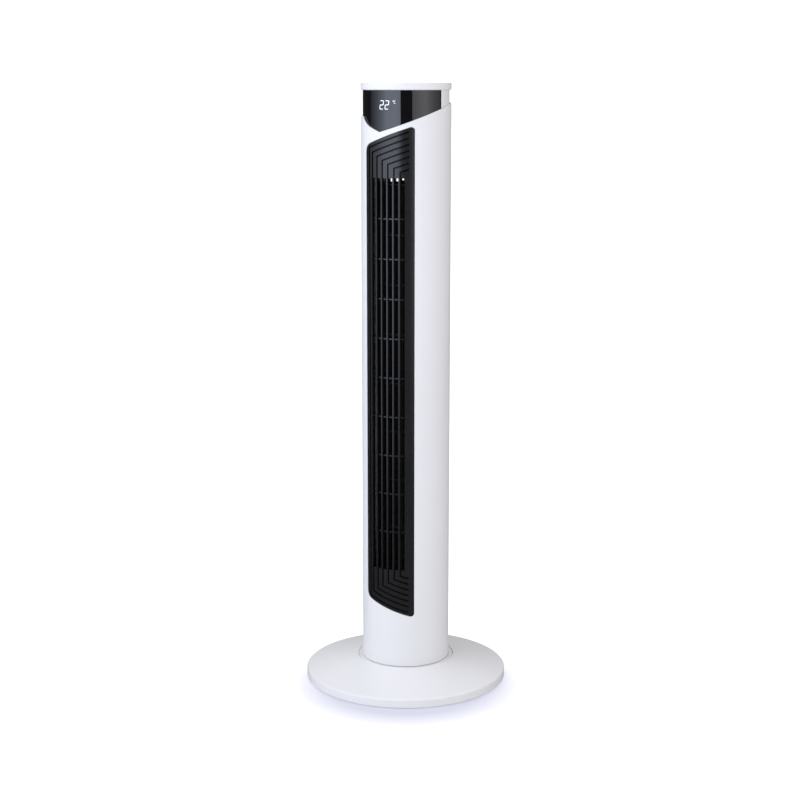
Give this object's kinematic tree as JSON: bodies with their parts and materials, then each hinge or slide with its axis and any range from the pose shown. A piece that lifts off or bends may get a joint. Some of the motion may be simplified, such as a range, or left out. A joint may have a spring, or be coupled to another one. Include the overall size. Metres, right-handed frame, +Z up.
{
  "type": "tower fan",
  "caption": "Slim cylindrical tower fan with a slotted front grille, glossy display window, slanted shell edge, flat cap and a round swinging base.",
  "frame": {"origin": "centre of the base's underside, on the floor", "axes": "+Z up along the column, the front grille faces -Y, +X is to the viewer's right"},
  "size_m": [0.31, 0.31, 0.9143],
  "materials": {
    "white_plastic": "satin white moulded plastic",
    "grille_black": "satin black moulded plastic",
    "pocket_plastic": "satin white moulded plastic",
    "window_black": "high gloss black window",
    "panel_black": "gloss black control panel",
    "button_black": "satin black key caps",
    "impeller_black": "black glass filled plastic",
    "inner_plastic": "dark grey inner moulding",
    "plate_plastic": "grey underside plate",
    "acetal": "natural acetal",
    "rubber": "black rubber",
    "screw_steel": "zinc plated steel",
    "shaft_steel": "ground steel",
    "motor_metal": "pressed steel can",
    "hub_metal": "turned aluminium",
    "bearing_bronze": "sintered bronze",
    "board_green": "solder resist",
    "component_black": "component body"
  },
  "bodies": {
    "base": {"base_cover": "white_plastic", "base_plate": "plate_plastic", "rubber_feet": "rubber", "base_screws": "screw_steel", "cord_gland": "rubber", "glide_ring": "acetal", "fixed_gear": "acetal"},
    "column": {"turntable": "white_plastic", "retaining_ring": "shaft_steel", "retaining_screws": "screw_steel", "column_foot": "inner_plastic", "drive_screws": "screw_steel", "swing_motor": "motor_metal", "front_housing": "white_plastic", "rear_housing": "white_plastic", "housing_screws": "screw_steel", "handle_pocket": "pocket_plastic", "front_grille": "grille_black", "duct_bottom": "inner_plastic", "duct_top": "inner_plastic", "scroll_wall": "inner_plastic", "scroll_tongue": "inner_plastic", "top_bearing": "bearing_bronze", "bearing_rubber": "rubber", "fan_motor": "motor_metal", "motor_dampers": "rubber", "motor_screws": "screw_steel", "power_board": "board_green", "motor_capacitor": "component_black", "head_front": "white_plastic", "head_rear": "white_plastic", "display_window": "window_black", "head_deck": "inner_plastic", "display_board": "board_green", "digit_module": "component_black", "control_board": "board_green", "tact_switches": "component_black", "top_cap": "white_plastic", "cap_screws": "screw_steel", "control_panel": "panel_black"},
    "pinion": {"swing_shaft": "shaft_steel", "swing_pinion": "acetal"},
    "impeller": {"impeller_segment_1": "impeller_black", "impeller_segment_2": "impeller_black", "impeller_segment_3": "impeller_black", "impeller_segment_4": "impeller_black", "impeller_segment_5": "impeller_black", "impeller_segment_6": "impeller_black", "impeller_segment_7": "impeller_black", "impeller_segment_8": "impeller_black", "impeller_end": "impeller_black", "stub_shaft": "shaft_steel", "impeller_hub": "hub_metal", "hub_grub_screw": "screw_steel", "motor_shaft": "shaft_steel"},
    "power_button": {"power_button": "button_black"},
    "speed_button": {"speed_button": "button_black"},
    "mode_button": {"mode_button": "button_black"},
    "timer_button": {"timer_button": "button_black"},
    "swing_button": {"swing_button": "button_black"}
  },
  "joints": [
    {"name": "column_swing", "type": "hinge", "parent": "base", "child": "column", "pos_m": [0, 0, 0.03], "axis": [0, 0, 1], "range_deg": [-40, 40]},
    {"name": "pinion_spin", "type": "hinge", "parent": "column", "child": "pinion", "pos_m": [0, 0.036, 0.03], "axis": [0, 0, 1], "range_deg": [-125, 125]},
    {"name": "impeller_spin", "type": "hinge", "parent": "column", "child": "impeller", "pos_m": [0, 0, 0.4], "axis": [0, 0, 1], "continuous": true},
    {"name": "power_press", "type": "slide", "parent": "column", "child": "power_button", "axis": [0, 0, -1], "range_m": [0, 0.0008], "stiffness_N_per_m": 1500},
    {"name": "speed_press", "type": "slide", "parent": "column", "child": "speed_button", "axis": [0, 0, -1], "range_m": [0, 0.0008], "stiffness_N_per_m": 1500},
    {"name": "mode_press", "type": "slide", "parent": "column", "child": "mode_button", "axis": [0, 0, -1], "range_m": [0, 0.0008], "stiffness_N_per_m": 1500},
    {"name": "timer_press", "type": "slide", "parent": "column", "child": "timer_button", "axis": [0, 0, -1], "range_m": [0, 0.0008], "stiffness_N_per_m": 1500},
    {"name": "swing_press", "type": "slide", "parent": "column", "child": "swing_button", "axis": [0, 0, -1], "range_m": [0, 0.0008], "stiffness_N_per_m": 1500}
  ],
  "couplings": [
    {"joint": "pinion_spin", "follows": "column_swing", "ratio": 3}
  ]
}
